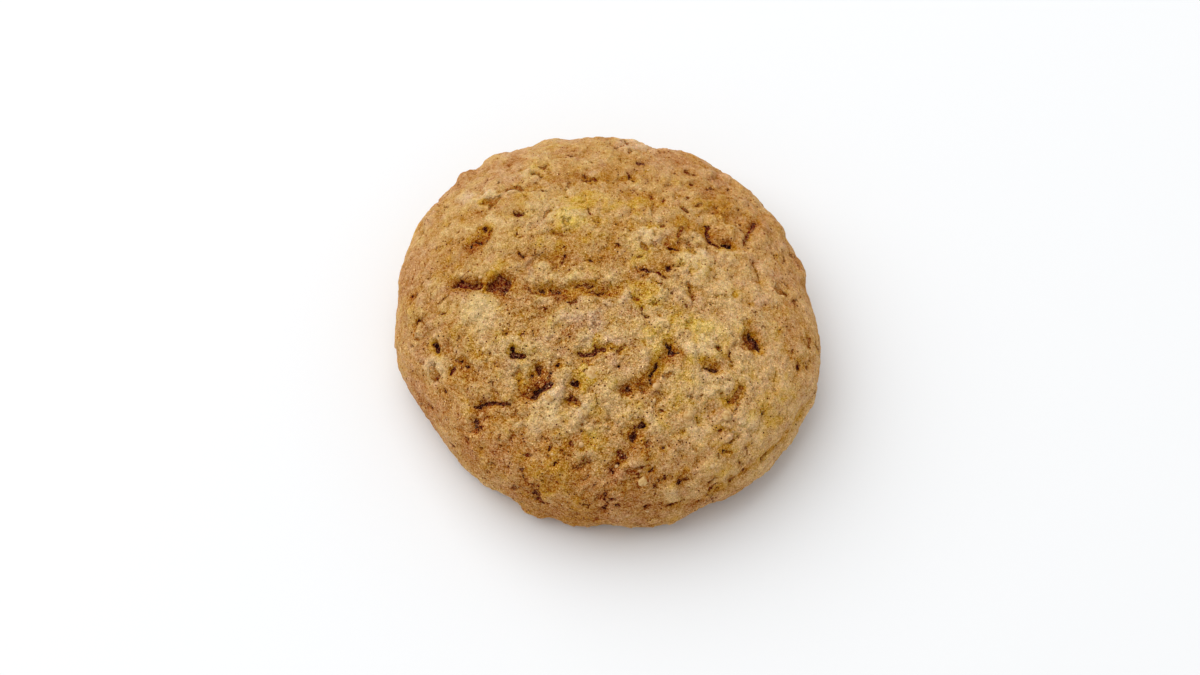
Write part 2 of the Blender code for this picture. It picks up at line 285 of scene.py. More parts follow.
# %% Placed cavities
# Width, depth and how dark the hole is painted, a painted shade (0 to 1), then each cavity of that
# kind: how far to the right and how far back the first place is that it runs through, then the next
# place, and so on.
CAVITIES = (
    (0.5, 1, 1, (8.8, -10.8, 9.2, -11.6, 9.2, -12.3)),
    (0.5, 0.9, 0.9, (9.3, -12, 10.6, -12), (7.4, -14.2, 6.9, -15, 6.5, -15.9),
        (-9.9, -2.2, -9.5, -2.4)), (0.3, 0.5, 1, (9.5, -10.9, 9.3, -11.5)),
    (0.6, 0.6, 0.7, (6.4, -16.7), (15.6, 8.9, 15.7, 8, 16, 6.8, 17.2, 6.4)),
    (0.8, 0.8, 1, (3.2, -17.9), (5, -23.3, 5.5, -23.1)), (0.5, 0.5, 0.5, (5.2, -17.9)),
    (0.6, 0.6, 0.9, (1.9, -14.6), (6.4, -35.9, 6.9, -35.7), (-23.4, -24.9)),
    (0.6, 0.7, 0.8, (-3.9, -12.6, -3, -12.9, -2.2, -12.9, -1.4, -12.1, -0.2, -12.1),
        (-5.3, -19, -5.2, -19.9)),
    (0.4, 0.4, 0.9, (-2.9, -14), (-11.3, -16.2), (-3.8, -24.1), (23.9, -2.7), (21.8, -22.3),
        (16, 18.3)), (0.5, 0.5, 0.6, (1.7, -12.4, 2, -12.1, 2.6, -11.3)),
    (0.3, 0.3, 0.6, (3.5, -11.6), (7.4, -20), (-1.9, -29.4), (-1.4, 3.1, -0.5, 3),
        (-5.9, 4.3, -6.2, 3.4, -6.6, 2.2), (13.3, -21.4, 13.7, -22.3), (19.9, -23.3, 19.6, -24),
        (25.3, -13.2, 24.9, -14.5), (31.8, -16.5, 31, -18.8)),
    (0.2, 0.3, 0.6, (3.4, -13.9, 3.9, -14.1), (-9.9, -25, -9.3, -25.4, -8.6, -25.6)),
    (0.4, 0.5, 0.8, (5.1, -5.1, 5.3, -6.2, 6.1, -6.6), (3.3, 19.4, 3.9, 18.6, 4.4, 18.3)),
    (0.4, 0.4, 0.8, (7.6, -6.3), (4.2, -23.4), (-10.3, -31.8), (4.1, 9.3)),
    (0.2, 0.3, 0.9, (-3.6, -7.9, -3.1, -7.2)),
    (0.2, 0.3, 0.8, (2.4, -7.6), (0.5, -7.8), (2.3, -5.1), (1.1, -4.2)),
    (0.9, 1, 1, (-5.1, -17.2, -4.4, -17.3)), (0.6, 0.8, 0.9, (-4.9, -16.7)),
    (0.7, 0.5, 0.6, (8, -20.9)),
    (0.4, 0.4, 0.6, (7, -18.2, 8.4, -18.5), (-29, 2.9, -29.1, 2.1), (-23.8, -12.1, -22.8, -12.6),
        (16.3, -2.3, 17.4, -2.4), (16.1, -31.6, 16.6, -31, 17.3, -30.3), (29.2, -10.5, 29.8, -10.9),
        (-3.2, 18.2, -1.6, 18.1), (-9.9, 16.4, -8.9, 15.8)),
    (0.5, 0.4, 0.8, (-6.9, -10.5), (-13.4, -29.9, -14.1, -30.2), (-13.6, -31, -13.6, -31.9),
        (18, -11.4), (9.1, -30.4, 9.3, -30.8), (30.6, -10.7), (-13.3, 8)),
    (0.7, 0.7, 0.8, (-7.3, -14.5)), (0.8, 0.7, 0.7, (-10.3, -14.7, -10.2, -15.6)),
    (0.9, 0.9, 0.9, (-8.4, -17.4, -9.4, -17.9, -10.4, -18.5, -10.9, -19.3)),
    (0.4, 0.5, 0.7, (-6.4, -22.6), (21.7, 8.9, 21.9, 7.4)),
    (0.6, 0.5, 0.7, (-3.6, -23.2), (1.8, -35.6), (-24.2, -13.4, -25.2, -14.2), (16.9, -17.5),
        (-26, 15.9)),
    (0.3, 0.3, 0.5, (-3, -22.9, -1.5, -22.9, -0.2, -22.9, 0.2, -22.4),
        (-26, -2.2, -24.9, -1.5, -24.2, -0.6), (22.9, 4.5, 23.6, 2.5, 23.8, 1.5),
        (16.6, -15.8, 17.6, -16)), (1.1, 1, 0.9, (3.9, -25)), (0.6, 0.6, 0.6, (4.3, -24.2)),
    (1, 0.7, 0.7, (2, -27, 2.6, -27.9)),
    (0.4, 0.7, 1, (1.9, -28.8, 1.2, -28.9, 0.8, -29.4, 0.9, -29.9)),
    (0.4, 0.4, 0.7, (2.7, -29.7), (5.3, 1.3, 6.2, 1, 7.2, 1, 8.3, 0.5, 8.8, 0),
        (11.7, 13.2, 12.4, 12.6)),
    (0.3, 0.5, 0.9, (3.4, -31.3, 4.1, -31.2, 4.9, -30.8), (-0.9, -36.3, 0, -36.3),
        (-2.9, 3.4, -2.6, 2.9, -2, 2.6), (-2, 9.9, -1.1, 9.7)),
    (0.4, 0.5, 0.9, (6.5, -27.5), (-32.3, -17.9, -31, -18.9)),
    (0.4, 0.6, 1, (6.6, -29.9, 7.2, -29.3)),
    (0.3, 0.4, 0.8, (-0.3, -33.5, 0.3, -33.5), (-22.3, 8, -21.7, 8.4), (28.5, 2.7, 29.1, 2.3),
        (-13.7, 12.2)),
    (0.5, 0.5, 0.9, (-8.9, -26.9), (-7.8, -29), (-18.1, -11.9), (-21, -30.9), (8.4, -26.2)),
    (0.6, 0.4, 0.6, (-9, -27.8), (-30.6, -6.6, -30, -7), (17.3, -26.7),
        (21.9, 9, 22.8, 10.8, 24, 12.5), (11.6, 9.5, 11, 7.6)),
    (0.4, 0.3, 0.6, (-8.3, -26.4), (-24.7, -8.2), (-28.7, -8.3), (-16.2, -29.9), (-17, -26.5),
        (20, -29.7), (30.2, -7), (28.3, -7), (28.1, -9.3), (26.1, -6.2), (-8.5, 11.9, -9.3, 10.8),
        (-10.6, 17.8), (-14.2, 17.6), (8.6, 14, 8.8, 14.6), (16.9, 13.1), (6.2, 9.2)),
    (0.3, 0.3, 0.7, (-5.6, -28), (-23.7, 7.1), (-11, 4.1, -10, 3.9), (12.3, 0.9, 13, 1.5),
        (-8, 9.6), (-12.6, 7.4)),
    (0.5, 0.4, 0.7, (-3.8, -28.7), (-17.1, -24.9), (16.1, 1.4, 16.3, 0.7), (16.2, -35),
        (6.5, 18.9)), (1.2, 0.4, 0.4, (-11.7, -33)),
    (0.6, 0.5, 0.8, (-12.2, -34.3), (9.7, -2.6), (21.1, 15)),
    (0.3, 0.9, 0.8, (-8.3, -2.2, -7.6, -2.5, -7, -2.9)),
    (0.5, 0.6, 0.6, (-4.6, -1.8, -3.2, -1.5, -2, -1.9)),
    (0.4, 0.6, 0.6, (-2.9, -2.7, -1.5, -2.8, -0.5, -2.9)),
    (0.3, 0.4, 0.9, (1.7, -2.8), (1.5, 9.4, 2.1, 9.4)), (0.2, 0.4, 0.9, (1.2, 5.7, 2, 5.5)),
    (0.3, 0.4, 0.6, (7.2, -0.6, 8.5, -1.4, 9.6, -2.4)),
    (0.3, 0.3, 0.8, (-9.3, 5.3), (-11, 7.5), (-12.7, 7.4), (2.9, 2.4), (-7.3, 12.1)),
    (0.2, 0.3, 0.5, (-12, -1.2, -11, -2.5), (-10.2, -5.1, -9.5, -5.2, -9, -5.6)),
    (1.8, 1.1, 0.6, (-17.1, -1.1, -16, -0.2, -15.1, -0.9)),
    (0.7, 1.2, 0.9, (-16.8, -0.8, -16, 0, -15, -1.6)),
    (1, 0.9, 0.6, (-23, 0.3, -22.2, 0.6, -21, -0.2, -19, -0.5)),
    (0.4, 0.9, 0.9, (-21.6, -0.1, -20.9, -0.3)), (0.5, 0.6, 0.8, (-22.1, 1)),
    (0.4, 0.8, 1, (-20.3, 6.7, -19.5, 7.1, -18, 7.4)),
    (0.4, 0.6, 0.9, (-12.9, 4.3, -12.4, 3.8, -11.8, 4.2), (-31, 0.9, -30, 0.8)),
    (0.5, 0.6, 1, (-30.1, -4.2, -29.7, -3.8), (-30.2, -11.2)),
    (0.5, 0.5, 0.7, (-15.3, -9), (-21, -20, -19.7, -20.1, -18.3, -19.6, -16, -19.9, -15, -20)),
    (0.7, 0.6, 0.8, (-12.9, -9.3), (-21.9, -13.5), (-18, 9.2)),
    (0.4, 0.3, 0.7, (-25.5, -3.9), (23.8, -12.1), (13.9, -27.7), (11.4, -27.2), (11.4, -25),
        (21.5, -24.8, 22.2, -25.7)), (1, 1.1, 0.9, (-27, -8.8, -26.9, -9.8)),
    (0.2, 0.3, 0.7, (-19.8, -11.8, -18.3, -11.9)), (0.8, 1, 1, (-14.2, -11.6, -14.1, -12.7)),
    (0.8, 0.9, 0.9, (-14.1, -12.7, -12.6, -12.8)),
    (0.4, 0.3, 0.8, (-17.3, -13.6), (-18.6, -13.5), (-29.7, -19.3), (14, -17.9), (11.7, -23.4),
        (21.8, -28), (10.9, 21.3)), (0.5, 0.5, 0.8, (-26.6, -16.7), (-13.4, -16.5), (6.8, 15.3)),
    (0.8, 0.8, 0.9, (-19.7, -20.1)), (0.5, 0.8, 0.9, (-20.7, -22.1, -21, -22.9, -21.3, -23.5)),
    (0.6, 0.4, 0.7, (-20.7, -26.5), (11.9, -4.6), (15.4, -36), (-18, 7.7), (21.1, 11.8)),
    (0.5, 0.3, 0.6, (-12.8, -22.8), (25.3, -15.6), (27.1, -18.6), (14.9, 14.6, 13.9, 13.9)),
    (0.4, 0.7, 0.9, (9.6, 5.2, 10.1, 5.1, 10.9, 4.9)),
    (0.5, 0.4, 0.5, (12.3, 6.6, 12.9, 5.6, 13.4, 4.7)),
    (0.9, 0.8, 0.9, (18.1, 6.9, 19, 6.8), (9.4, 1.6)),
    (0.4, 0.4, 0.5, (12.1, -0.6, 12.5, -2, 12.6, -3.6, 12.5, -4.9)),
    (0.4, 0.3, 0.5, (19.2, 1.3), (-8, 7.8, -6.2, 7.4), (-5.6, 17.8, -6, 16.2), (-5.3, 25.9),
        (-9, 21)), (0.5, 0.4, 0.6, (26.2, -2.7), (11.9, -30.9, 12.6, -30.7)),
    (1, 1.2, 1, (21.1, -8.2, 21.6, -9.1, 22.2, -10.2)), (1.3, 0.9, 0.5, (20.8, -8.6, 21.3, -9.8)),
    (1, 0.6, 0.7, (16.4, -10.8)), (0.5, 0.9, 1, (14.4, -14, 15.1, -14.3, 16, -14.3)),
    (0.8, 0.8, 0.6, (19.8, -16.2, 19.4, -17.2)), (0.3, 0.9, 0.9, (19.2, -16.6, 19, -17.3)),
    (0.8, 0.6, 0.6, (19.2, -17.6, 18.4, -18.4)), (0.5, 0.7, 0.9, (18.1, -18.5)),
    (0.3, 0.3, 0.9, (14.2, -16.1), (15.7, -20.3)), (0.7, 0.5, 0.7, (17.1, -22.6)),
    (0.2, 0.2, 0.6, (23.5, -18.3, 24.9, -18.3)), (0.9, 0.9, 1, (11.4, -31.1)),
    (0.6, 0.7, 1, (17.9, -25.7)), (0.5, 0.3, 0.7, (22.6, -28.5), (-23.5, 8.5), (12.5, 15.4)),
    (0.7, 0.6, 0.9, (18.4, -32), (24.2, 13)), (0.8, 0.6, 0.9, (29.2, -11.4)),
    (0.6, 0.3, 0.6, (31.9, -5.9, 31.9, -7.3), (-18.8, 16.7)), (0.7, 0.5, 0.8, (5, 22.9, 5.8, 22.7)),
    (0.3, 0.4, 0.7, (-2.7, 12.1, -2.4, 11.2)), (0.8, 0.5, 0.7, (-13.2, 11.5, -12.5, 11.5)),
    (0.2, 0.2, 0.5, (-12.5, 11.6, -10.6, 12)), (0.9, 0.4, 0.6, (12.9, 21.6)),
    (0.7, 0.4, 0.7, (16.6, 18.7)), (0.9, 0.6, 0.8, (15.6, 9.6)), (0.5, 0.4, 0.9, (27.3, 13.6)),
    (0.6, 0.5, 0.6, (26.3, 11.2)), (0.7, 0.4, 0.6, (8.6, 9.4)),
)

# %% Placed valleys, lumps and edge steps
# Width and depth, then the places that the valley runs through, written in the same way.
VALLEYS = (
    (1.6, 1.2, -10, -2.2, -8.6, -2.2, -7.2, -2.7, -5.6, -2.6, -4.2, -2, -2.6, -2.2, 1.8, -2.4),
    (1.8, 0.6, -23, 0.3, -21, 0.1, -19, -0.5), (2.6, 0.9, -17, -0.6, -15.2, -0.6),
    (1.2, 0.5, 9.4, 6.6, 10.6, 5, 13, 5.4), (1.6, 0.6, 15.2, 8.8, 15.9, 7.2, 17.6, 6.8, 20.4, 7.2),
    (1, 0.25, -8, 7.6, -6.5, 8, -4.8, 7.8),
    (1.4, 0.3, -3.3, 18.2, -0.5, 18.5, 2.5, 18.3, 4.8, 19.4),
    (1.2, 0.3, 21.4, 9.1, 22.6, 11.5, 24.5, 14.3), (0.9, 0.3, 23.1, 5.7, 23.7, 3.9, 23.7, 1.2),
    (1.5, 1, 9.5, -11, 9, -12.4, 7.9, -13.8, 6.8, -15.6, 5.2, -17.2, 3.2, -17.9),
    (1.6, 0.5, 5.4, -22.9, 4.1, -24.6, 3.2, -25.8), (1.3, 0.6, 3.2, -25.8, 2, -27.3, 0.9, -28.8),
    (1.2, 0.4, -19, -19.1, -20.3, -21.2, -21.5, -23.2),
    (1.6, 0.8, -20.4, 6.6, -19.1, 7.4, -17.9, 8.4),
    (1, 0.3, -14.7, 4.1, -11.3, 4, -6.8, 3.1, -3.6, 3.6),
    (1.6, 0.8, -10.2, -15.7, -10.7, -17.4, -11.6, -19.1),
    (1.2, 0.7, -4.8, -16.3, -5.1, -18.1, -5.5, -19.9),
    (1.2, 0.7, -3.9, -12.8, -2.1, -12.5, -0.5, -11.8),
    (1, 0.4, -0.5, -11.8, 1.5, -12.2, 2.6, -11.3), (1.6, 0.6, 21.3, -7.8, 22, -9, 22.7, -10.2),
    (1.4, 0.7, 14, -13.4, 15.8, -13.8, 17.8, -12.8),
    (1.4, 0.8, 19.5, -15.9, 18.9, -17.6, 17.8, -18.6),
    (1.2, 0.4, 15.1, 11.8, 15.7, 9.3, 17.9, 7.5, 19.8, 8.1),
    (1.2, 0.3, 10.7, 15.9, 13.1, 14.3, 15.1, 13), (1, 0.3, 4.7, 1.2, 6.5, 1.3, 8.8, 0.2),
    (1.2, 0.3, -29.9, -3.3, -29.7, -5.4, -28.5, -7.9, -26.9, -9.5),
    (1.2, 0.3, -30, 5.3, -30.4, 2.9, -30.7, 0.3),
    (1.2, 0.3, -25.4, -12.1, -23.4, -13.2, -21.6, -14.4),
    (1.2, 0.3, 30.6, -2.9, 30.9, -4.9, 31.4, -7), (1.2, 0.3, 26.9, -8.9, 28.5, -10.4, 29, -12.2),
    (1.2, 0.3, -12.7, -29.6, -12.2, -31.9, -11.5, -33.9),
    (1.2, 0.3, -6.7, -38, -3.3, -39.3, -1.2, -38.2),
    (1.6, 0.7, 33.5, -16, 30, -22, 25, -27, 19, -32, 12, -36),
)

# Place, radius and rise in millimetres, of nut pieces and of plates of whole skin.
LUMPS_PLACED = (
    (-8.5, -18.2, 1.8, 0.5), (-2.2, -15.5, 1.6, 0.35), (-5.1, -22.7, 1, 0.45),
    (-3.4, -21.4, 0.9, 0.3), (-10, -29, 2.8, 0.3), (11.9, -21.3, 1.1, 0.35), (17.8, -20.6, 1, 0.4),
    (5.6, -31.6, 1, 0.4), (13.5, 3.2, 2.4, 0.4), (7.3, -17.2, 0.8, 0.45), (3.5, -13, 4.6, 0.4),
    (12.3, -11.5, 1.2, 0.4), (-20.5, -3.2, 2.2, 0.3), (-6, 10.6, 1.8, 0.35), (7, -7.3, 1.2, 0.3),
    (16.8, -14.8, 0.9, 0.3),
)

# Bumps and dents along the edge, where the outline steps.
EDGE_BUMPS = (
    (8.7, 32.8, 3, -0.9), (-9.5, 32.5, 2.2, 0.5), (-18.5, 28.5, 2.2, 0.5), (-23, 25, 1.8, 0.7),
    (-20.7, -38.8, 2, -1.3), (-15.5, -41, 2, 0.8), (1, -44, 2.2, -0.4), (11.5, -42.5, 3, 0.35),
    (20.5, -39, 2.2, -0.45), (29.5, 17, 2.2, 0.6), (34.5, 9.2, 2, 0.5),
)

# %% Placed colours, painted light and shade among them
# Place and radius in millimetres, how pale (or, below 0, how brown) and how golden (or, below 0,
# how pink) each patch is. Most are the crust's own colour. The broad ones at (-19, -25) and
# (-27, 3) on the left are painted shade, and those at (19, -19), (14, -12) and (31.5, -6) on the
# right are painted light, evening out the lamp from the left. The pink ones along the back and
# left edges are a painted sheen.
PATCHES_WITH_PAINTED_LIGHT = (
    (-19, -25, 8, -0.3, 0), (-9, -36, 7, -0.5, 0.1), (19, -19, 9, 0.3, 0.15),
    (31.5, -6, 5, 0.4, 0.1), (-20, 24, 8, -0.6, -0.8), (0, 28, 9, -0.6, -0.2),
    (14, 25, 8, -0.5, -0.4), (-30, 5, 5, -0.2, -0.5), (-34, -17, 6, -0.2, -0.9),
    (3, -33, 3.5, -0.35, 0), (-3, -32.5, 2.5, -0.3, 0), (18.5, 16, 2.8, -0.5, 0.3),
    (-23, 6.5, 3, -0.7, 0), (-1, 2.5, 2.6, -0.4, 0), (-14, -26, 2.4, -0.4, 0),
    (28.5, 14, 3, -0.4, 0), (-6.5, 20.5, 2.8, -0.6, 0.2), (-6.3, 2.6, 2, -0.8, 0),
    (10.3, -5.5, 1.6, -0.8, 0.8), (-25, -19, 3, -0.3, 0), (14, -12.3, 2, 0.5, 0),
    (17, -17.5, 2.4, 0.9, 0), (34.5, -19.5, 4.5, 0.9, 0), (27, -10.5, 3, 0.35, 0),
    (13, 3.5, 2, 0.4, 0), (-27.8, -12.7, 2.2, 1.3, 0), (-7, 10.5, 2, 0.5, 0.2),
    (21.5, -23, 3, 0.7, 0), (20, -36, 4, 0.35, -0.6), (6, 6.8, 1.8, 0.8, 0),
    (-3.2, -11.4, 1.6, 0.9, 0), (24, 8, 6, 0.2, -0.3), (4.6, -18.2, 2.2, -0.9, 0.3),
    (-13, -4, 2.5, -0.9, 0), (-8.5, -25.8, 2.6, -0.8, 0.5), (-4.5, -25.7, 1.8, -1, 0.6),
    (-32.5, 7.5, 4, -0.4, -0.9), (4, -38, 5, -0.4, -0.7), (12, -39, 4, -0.35, 0.1),
    (-15, -39.5, 4, -0.35, -0.3), (-22.5, -27.5, 4, -0.8, 0), (-29, -19, 3, -0.4, 0),
    (-23, -7.5, 2.8, -0.8, 0.3), (-4.5, 6.8, 2.3, -0.8, 0.4), (-9.5, 6, 2.5, -0.8, 0),
    (-14.2, 13.8, 2.4, -1.1, 0.3), (-29, 18, 3, -0.8, -0.5), (-6, -31, 3, -0.4, 0),
    (5, 14.5, 2.5, -0.8, 0.7), (22, 7, 2.5, -0.35, 0.5), (-18, 7, 2.5, -0.35, -0.2),
    (-14, 20, 2.6, 0.8, -0.8), (4.5, 30, 3.2, 1.3, -0.9), (-11, -13, 1.8, 0.4, 0),
    (-3, -11, 1.8, 0.4, 0), (1.3, -11, 1.8, 0.9, -0.5), (16, -18, 1.8, 0.4, 0),
    (-18, -19, 1.8, 0.4, 0), (15, 3, 2.6, 0.4, -0.3), (22, -13, 3.4, 0.7, 0),
    (7, -1.5, 1.8, 0.4, 0), (16, 10, 1.8, 0.4, 0), (11, -26.5, 1.8, 0.4, -0.5),
    (26, 20, 3, 0.4, -0.5), (2.5, -29.5, 2.4, 0.4, -0.9), (-18, 15, 1.8, 1.3, 0),
    (-10, 0.3, 1.6, 0.4, -0.2), (24, -19.5, 3.4, 0, 1.2), (-3, -16, 1.8, -0.4, 0.8),
    (0, -18.5, 2.4, -0.1, 0.6), (11.3, -15, 2.4, -0.4, 0.7), (17.3, -10.5, 1.8, -1, 0.6),
    (-13, -20.2, 1.8, -1.1, 0.4), (6, 3, 2, 0, 0.6), (-3.3, 14, 2.6, -0.1, 1.2),
    (16.5, -29.5, 2.4, 0, 0.9), (9.5, 28, 3, 0.3, -1.1), (-14, 28, 3.2, 0, -0.8),
    (-5, 30.5, 3, 0.1, -0.5), (-25.5, 22.5, 3.6, -0.4, -1.2), (-11, 3, 2, 0.1, -0.6),
    (-14.5, -10.8, 2, 0.8, -0.4), (-20.5, -15, 2, 0.1, -0.5), (-36, -3, 3.4, 0, -0.5),
    (20, 24, 3, 0, -0.5), (-17, -28, 2.4, 0.1, -0.5), (-27, -2, 6, -0.2, 0),
    (-19.5, -4.4, 3, 1.1, -0.1), (-5.4, 10.9, 2.2, 0.9, 1.5), (6.2, 8.3, 1.3, 0.7, 0.2),
    (13.5, 3.5, 2.2, 1.1, 0), (17.8, 0.5, 1.5, 0.6, -0.2), (19.1, -4.7, 1.8, 0.7, -0.3),
    (15.5, -9.1, 2.6, 1, 0.3), (10.8, -7.5, 2.6, 0.5, 1), (6.5, -4.8, 1.8, 0.8, 0.8),
    (12.2, -10.9, 1.1, 1.1, -0.7), (7.7, -7.3, 0.8, 0.9, 0.2), (7, 0, 1.1, 0.5, -0.9),
    (11.5, -2.7, 1, 0.2, -0.8), (0.6, -0.5, 0.7, 0.8, 0), (-5.2, -0.3, 0.5, 0.8, 0),
    (14.4, -15.9, 2, 1, -0.2), (16.8, -14.8, 0.8, 0.6, 0), (-8.9, -20.9, 3, 0.9, -0.1),
    (-7, -23.3, 2.4, 0.8, -0.1), (-8.1, -18.4, 1.5, 0.9, -0.8), (-11.1, -23.5, 1.2, 0.6, -0.6),
    (-4.6, -21.9, 1.5, 0.7, -0.6), (-2.4, -15.8, 1.6, 0.5, 2), (-0.2, -19.2, 1.8, 0.6, 0),
    (4.2, -19.6, 1.8, 0.4, 0.2), (8, -22.9, 1.6, 0.6, 0.2), (13.5, -23, 2.2, 1.4, -0.3),
    (16.9, -20.6, 1.6, 0.7, -0.6), (21.9, -21.5, 2.2, 0.5, -0.1), (15.5, -28.8, 1.6, 0.7, 0),
    (17.5, -28.8, 0.9, 0.5, 0.4), (6, -32, 1.4, -0.7, 0), (-21.5, 17.2, 1.3, 0.8, -0.6),
    (-17, 11.5, 1.1, 0.6, 0), (-4.6, -7.2, 1.2, 0.5, -1), (-2.1, -8, 1.2, 0.5, -1),
    (-2, -6, 5.5, 0, -0.4), (2, -12.7, 3.4, -0.1, -0.2), (23.3, -1.9, 1.3, 0.5, -0.8),
    (-27.5, 9.5, 1.1, 0.4, -0.6), (-26, -6, 5, 0, -0.3), (23, -14, 5, 0.1, -0.3),
    (-11.3, 4, 1.5, -0.4, -0.1), (-6.8, 4.7, 1.6, -0.3, 0.7), (-0.2, 8.3, 2.2, -0.2, 0.7),
    (5.8, 1.2, 1.3, -0.8, 0.4), (8.6, 2.4, 1.8, -1, 0.4), (10, 6.4, 1.5, -0.7, 0.2),
    (16.8, 8.2, 1.6, -0.7, 0.3), (19.3, 7.8, 1.3, -0.7, 0.3), (15.5, 15.7, 2, -0.6, 0.6),
    (17.4, 12.4, 1.5, -0.6, 0.7), (23.3, 11.3, 1.6, -0.3, 0.3), (5.2, 13.3, 1.8, -0.2, 1),
    (0.9, 19, 2.2, -0.5, 0.2), (-10, 21.6, 2, 0.2, 0.5), (5.3, -2.2, 1.6, -0.3, 1.6),
    (15.5, -13.4, 1.4, -0.7, 0.6), (4.2, -24, 1.6, -0.3, 0.6), (1.6, -27.9, 1.2, -0.6, 0.3),
    (-8.9, -30.9, 3.4, -0.1, 1), (-3.6, -37.6, 3.2, -0.6, 0.6), (-12.5, -33, 2.5, -0.2, 0.4),
    (-6, -27.5, 2, 0.1, 0.6), (11.8, -30.8, 1.5, -0.6, 0.2), (-12.9, -17.3, 1.4, -0.2, 0.8),
    (-26.3, -8.9, 1.3, -0.5, 0.1), (5.3, -32.7, 4, -0.4, 0), (16.7, -35.3, 3, -0.4, 0),
    (28, -7.4, 2, -0.4, 0), (27, 8, 3.5, -0.3, 0.1), (-9, -17.7, 1.8, -1, 0.2),
    (-14, 2, 2, -0.6, 0), (13, 25, 3, -0.5, 0), (-4.6, -9.2, 1.6, -1.1, 0.2), (34, 7, 3.5, -0.5, 0),
    (29, -3, 3, -0.6, 0), (-24, -15, 2.2, -0.6, 0), (-2, -4, 1.6, -0.5, 0), (7.4, -10, 2, 0.5, 1.8),
    (18, -2, 1.8, 0.6, 0), (-4, -20, 1.6, 0.6, 0), (-1, -11, 1.6, 0.6, 0), (30, -28, 3, 0.6, 0),
    (29, -15, 3, 0.2, 0.6), (14, -12, 13, 0.3, 0), (20.7, -9.8, 1.5, -1, 0.2),
    (10, -13, 1.5, -0.8, 0.2), (-16, -13.8, 1.4, -0.8, 0), (-32, -11, 2.4, -0.7, 0),
    (-9, -6, 1.6, -0.6, 0), (-20, 13, 1.8, -0.8, 0), (-20, -1.8, 1.6, -0.6, 0),
    (1, 30, 2.2, -0.8, 0), (-2, -13, 1.2, -0.6, 0.2), (4, -30, 1.8, 0.9, 0), (27, 0, 2, 0.9, 0),
    (-8, -19.6, 1.6, 1.3, 0), (-7, -9, 1.6, 0.7, 0), (-3, -28, 1.6, 0.7, 0), (-5, -16, 1.4, 0.7, 0),
    (9, -15.2, 1.3, 0.8, 0), (-27, -8, 1.6, 0.8, 0), (24.2, -7, 1.4, 0.8, 0),
    (-24, -3.2, 1.8, 0.7, 0), (-1, -25.5, 2, -0.3, 0.9), (25, 12, 1.8, -0.8, 0),
    (12, 10, 1.8, -0.7, 0.8), (19, 15, 1.6, -0.7, 0), (19, 10, 1.6, -0.7, 0),
    (-6, -20.9, 1.2, -0.8, 0), (-27, 12, 2, -0.7, 0), (-27, -15, 1.6, -0.7, 0),
    (-21, 23, 2.2, -0.8, 0), (-36, -18, 3, -0.8, 0), (-9, -41.5, 4, -0.7, 0),
    (-9, -15.2, 1.2, -0.7, 0), (6.4, -22.6, 1.4, 0.9, 0), (20, -30, 2, 0.8, 0),
    (-3, -20.9, 1.2, 0.9, 0), (1, -27, 1.4, 0.8, 0), (-13.6, -22.8, 1.2, 0.7, 0),
    (4, -3.2, 1.2, 0.8, 0), (14, -8, 2, 0.3, 1.2), (1, 14, 1.8, -0.2, 1.2),
    (10.5, -18.5, 2.2, 0, 1.2), (20, -6, 1.8, 0, 1), (20, -14, 2, 0, 1), (15, 1, 1.6, 0.2, 1),
    (5, 5, 1.5, 0, 0.8), (-19, -7, 1.6, 0, 0.8), (-1, 1, 1.4, -0.2, 0.8), (16, -20.2, 1.4, -0.9, 0),
    (-16, -2.2, 1.4, -0.9, 0.2), (-7, -3.2, 1.2, -0.9, 0.3), (4, -0.2, 1.4, -0.7, 0.2),
    (2, -31, 1.4, -0.7, 0), (5, -27.2, 1.4, -0.7, 0), (23, -35, 2.4, -0.6, 0),
    (-19, -21, 1.8, -0.7, 0), (-12.6, -15, 1.2, 1, 0), (13, -11.6, 1.4, 0.8, 0),
    (-1, -24, 1.3, 0.9, 0), (7, -12.2, 1.3, 0.8, 0), (6, -35, 1.6, 0.7, 0), (26, -14, 1.6, 0.7, 0),
    (26, -27, 2, 0.7, 0), (12, -33, 2.4, 0.8, 0), (-11, -34, 1.6, 0.6, 0), (-10, 3, 1.2, 0.7, 0),
    (14, -9, 1.6, 0, 0.6), (-27, 3, 9, -0.3, 0),
)
